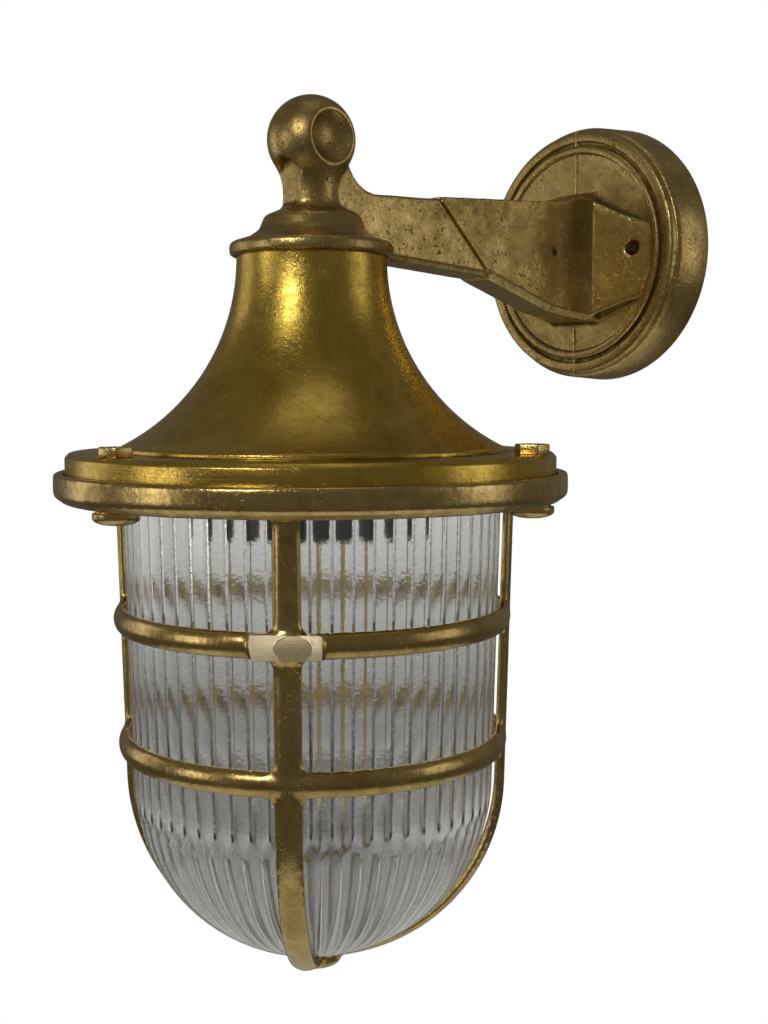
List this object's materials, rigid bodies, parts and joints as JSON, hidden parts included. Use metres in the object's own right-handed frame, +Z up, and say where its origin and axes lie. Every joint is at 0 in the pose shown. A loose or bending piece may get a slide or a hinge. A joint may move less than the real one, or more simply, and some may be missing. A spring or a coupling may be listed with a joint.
{
  "type": "ship lantern",
  "caption": "Wall-hung ship lantern: a bell hood on a cast brass arm carries a round-bottomed reeded glass jar in a bolted brass cage with a screw-thread lampholder.",
  "frame": {"origin": "centre of the wall plate's back face, midway between the two wall screw holes, on the wall", "axes": "+Y into the wall, so the arm points along -Y; +X to the right as seen from the room; +Z up"},
  "size_m": [0.17, 0.236, 0.2995],
  "materials": {
    "cage_brass": "cast and lightly polished, pitted",
    "hood_brass": "polished, darkened",
    "arm_brass": "cast, satin, pitted",
    "fastener_brass": "turned",
    "glass": "clear, pressed with vertical reeds inside",
    "rubber": "moulded",
    "steel": "zinc plated",
    "phenolic": "moulded black phenolic",
    "contact_metal": "nickel plated",
    "block_plastic": "moulded, natural",
    "core_brown": "wire insulation",
    "core_blue": "wire insulation",
    "core_green": "wire insulation, striped"
  },
  "bodies": {
    "lantern": {"glass_seal_upper": "rubber", "hood_nuts": "fastener_brass", "hood": "hood_brass", "nipple": "fastener_brass", "nipple_washer": "steel", "nipple_locknut": "steel", "cap_seal": "rubber", "lampholder_body": "phenolic", "lampholder_shell": "contact_metal", "lampholder_contact": "contact_metal", "lampholder_terminal_left": "contact_metal", "lampholder_terminal_right": "contact_metal", "cap_arm": "arm_brass", "wall_arm": "arm_brass", "wall_gasket": "rubber", "duct_grommet": "rubber", "terminal_block": "block_plastic", "terminal_insert_1": "contact_metal", "terminal_insert_2": "contact_metal", "terminal_insert_3": "contact_metal", "terminal_screws": "steel", "block_fixing_screw": "steel", "earth_tag": "contact_metal", "earth_screw": "fastener_brass", "lead_live": "core_brown", "lead_neutral": "core_blue", "lead_earth": "core_green"},
    "cage": {"cage": "cage_brass", "glass": "glass", "glass_seal_lower": "rubber"},
    "bolt_washer_1": {"bolt_washer_1": "fastener_brass"},
    "bolt_1": {"bolt_1": "fastener_brass"},
    "bolt_washer_2": {"bolt_washer_2": "fastener_brass"},
    "bolt_2": {"bolt_2": "fastener_brass"},
    "bolt_washer_3": {"bolt_washer_3": "fastener_brass"},
    "bolt_3": {"bolt_3": "fastener_brass"}
  },
  "joints": [
    {"name": "cage_lift_off", "type": "slide", "parent": "lantern", "child": "cage", "axis": [0, 0, -1], "range_m": [0, 0.13]},
    {"name": "bolt_1_travel", "type": "slide", "parent": "cage", "child": "bolt_washer_1", "axis": [0, 0, -1], "range_m": [0, 0.0031]},
    {"name": "bolt_1_turn", "type": "hinge", "parent": "bolt_washer_1", "child": "bolt_1", "pos_m": [0, -0.226, -0.0886], "axis": [0, 0, -1], "range_deg": [0, 1080]},
    {"name": "bolt_2_travel", "type": "slide", "parent": "cage", "child": "bolt_washer_2", "axis": [0, 0, -1], "range_m": [0, 0.0031]},
    {"name": "bolt_2_turn", "type": "hinge", "parent": "bolt_washer_2", "child": "bolt_2", "pos_m": [0.06495, -0.1135, -0.0886], "axis": [0, 0, -1], "range_deg": [0, 1080]},
    {"name": "bolt_3_travel", "type": "slide", "parent": "cage", "child": "bolt_washer_3", "axis": [0, 0, -1], "range_m": [0, 0.0031]},
    {"name": "bolt_3_turn", "type": "hinge", "parent": "bolt_washer_3", "child": "bolt_3", "pos_m": [-0.06495, -0.1135, -0.0886], "axis": [0, 0, -1], "range_deg": [0, 1080]}
  ],
  "couplings": [
    {"joint": "bolt_1_travel", "follows": "bolt_1_turn", "m_per_rad": 0.00015915},
    {"joint": "bolt_2_travel", "follows": "bolt_2_turn", "m_per_rad": 0.00015915},
    {"joint": "bolt_3_travel", "follows": "bolt_3_turn", "m_per_rad": 0.00015915}
  ]
}
